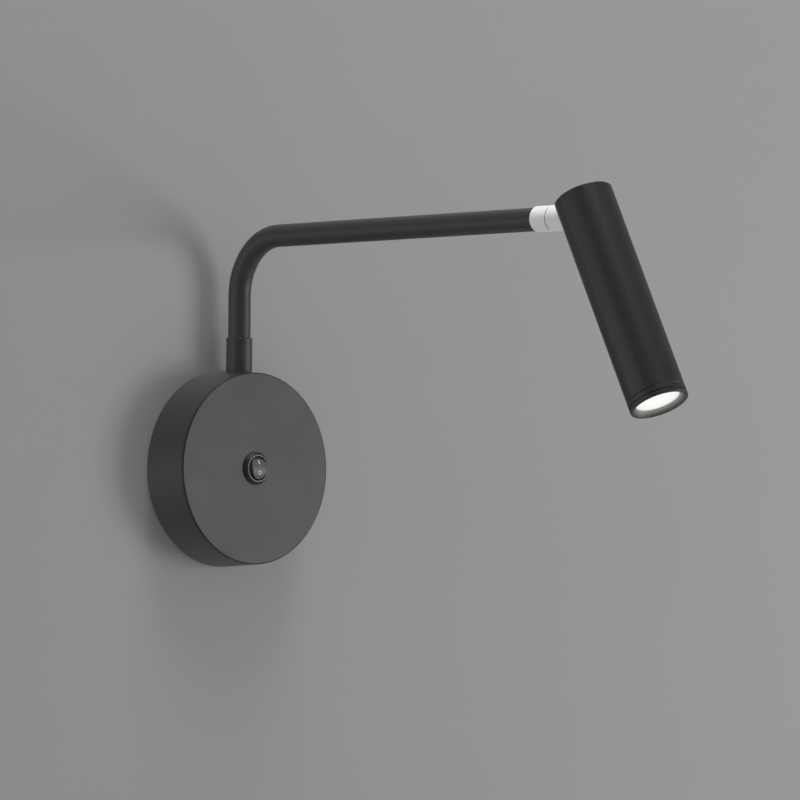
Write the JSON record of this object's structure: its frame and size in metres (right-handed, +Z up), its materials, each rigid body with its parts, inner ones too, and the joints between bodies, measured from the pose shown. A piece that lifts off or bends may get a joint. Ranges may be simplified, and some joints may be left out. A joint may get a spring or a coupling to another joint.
{
  "type": "wall reading light",
  "caption": "Wall light with a round canopy, a rocker switch on its face, a bent swivel arm and a slim tube head that rolls and tilts on a metal joint.",
  "frame": {"origin": "centre of the canopy on the wall plane, midway between the bracket's two wall slots", "axes": "+Z up, +Y into the wall, -Y out along the arm, +X to the right as seen from the room"},
  "size_m": [0.105, 0.3382, 0.1927],
  "materials": {
    "black_paint": "matt black powder coat",
    "satin_metal": "satin nickel",
    "zinc_steel": "bright zinc",
    "brass": "bare",
    "black_plastic": "satin black",
    "white_plastic": "moulded",
    "nylon": "black nylon",
    "circuit_board": "green solder mask",
    "ferrite": "sintered",
    "capacitor": "sleeved",
    "aluminium": "machined",
    "soft_pad": "elastomer",
    "clear_lens": "clear, lit from behind",
    "phosphor": "silicone",
    "wire_brown": "insulated",
    "wire_blue": "insulated",
    "wire_green": "insulated",
    "lead_black": "sheathed"
  },
  "bodies": {
    "base": {"wall_bracket": "zinc_steel", "canopy": "black_paint", "canopy_screw": "black_paint", "earth_tag": "brass", "earth_screw": "zinc_steel", "terminal_block": "white_plastic", "terminal_sleeves": "brass", "terminal_screws": "zinc_steel", "driver_tape": "soft_pad", "driver_case": "white_plastic", "driver_cover": "white_plastic", "driver_board": "circuit_board", "driver_transformer": "ferrite", "driver_capacitors": "capacitor", "switch_body": "black_plastic", "switch_terminals": "brass", "collar": "black_paint", "arm_stop_pin": "zinc_steel", "thrust_washer": "nylon", "saddle_washer": "zinc_steel", "collar_nut": "zinc_steel", "wire_live_in": "wire_brown", "wire_live_out": "wire_brown", "wire_neutral": "wire_blue", "wire_earth": "wire_green", "lead_base": "lead_black"},
    "rocker": {"rocker": "black_plastic", "switch_plunger": "brass", "switch_spring": "zinc_steel"},
    "contact": {"contact_bar": "brass"},
    "arm": {"arm_tube": "black_paint", "arm_pivot": "zinc_steel", "arm_spring_washer": "zinc_steel", "arm_flat_washer": "zinc_steel", "arm_pivot_nut": "zinc_steel", "ferrule": "satin_metal", "roll_stop_pin": "zinc_steel", "friction_washer": "nylon", "lead_arm": "lead_black"},
    "knuckle": {"knuckle": "satin_metal", "roll_spring_washer": "zinc_steel", "roll_flat_washer": "zinc_steel", "roll_nut": "zinc_steel", "lead_knuckle": "lead_black"},
    "head": {"head_shell": "black_paint", "head_cap": "black_paint", "pivot_block": "aluminium", "tilt_pin": "zinc_steel", "tilt_washers": "nylon", "head_set_screw": "zinc_steel", "heat_sink": "aluminium", "thermal_pad": "soft_pad", "led_board": "aluminium", "board_screws": "zinc_steel", "led_emitter": "phosphor", "lens_holder": "white_plastic", "lens": "clear_lens", "lens_gasket": "soft_pad", "bezel": "black_paint", "lead_head": "lead_black"}
  },
  "joints": [
    {"name": "arm_swivel", "type": "hinge", "parent": "base", "child": "arm", "pos_m": [0, -0.013, 0.07], "axis": [0, 0, 1], "range_deg": [-85, 85]},
    {"name": "head_roll", "type": "hinge", "parent": "arm", "child": "knuckle", "pos_m": [0, -0.2508, 0.1234], "axis": [0, 1, 0], "range_deg": [-160, 160]},
    {"name": "head_tilt", "type": "hinge", "parent": "knuckle", "child": "head", "pos_m": [0, -0.2767, 0.1234], "axis": [-1, 0, 0], "range_deg": [-27, 63]},
    {"name": "switch_rock", "type": "hinge", "parent": "base", "child": "rocker", "pos_m": [0, -0.0267, 0], "axis": [1, 0, 0], "range_deg": [0, 18]},
    {"name": "contact_flip", "type": "hinge", "parent": "base", "child": "contact", "pos_m": [0, -0.0178, 0], "axis": [1, 0, 0], "range_deg": [-16, 0]}
  ],
  "couplings": [
    {"joint": "contact_flip", "follows": "switch_rock", "ratio": -0.88889}
  ]
}
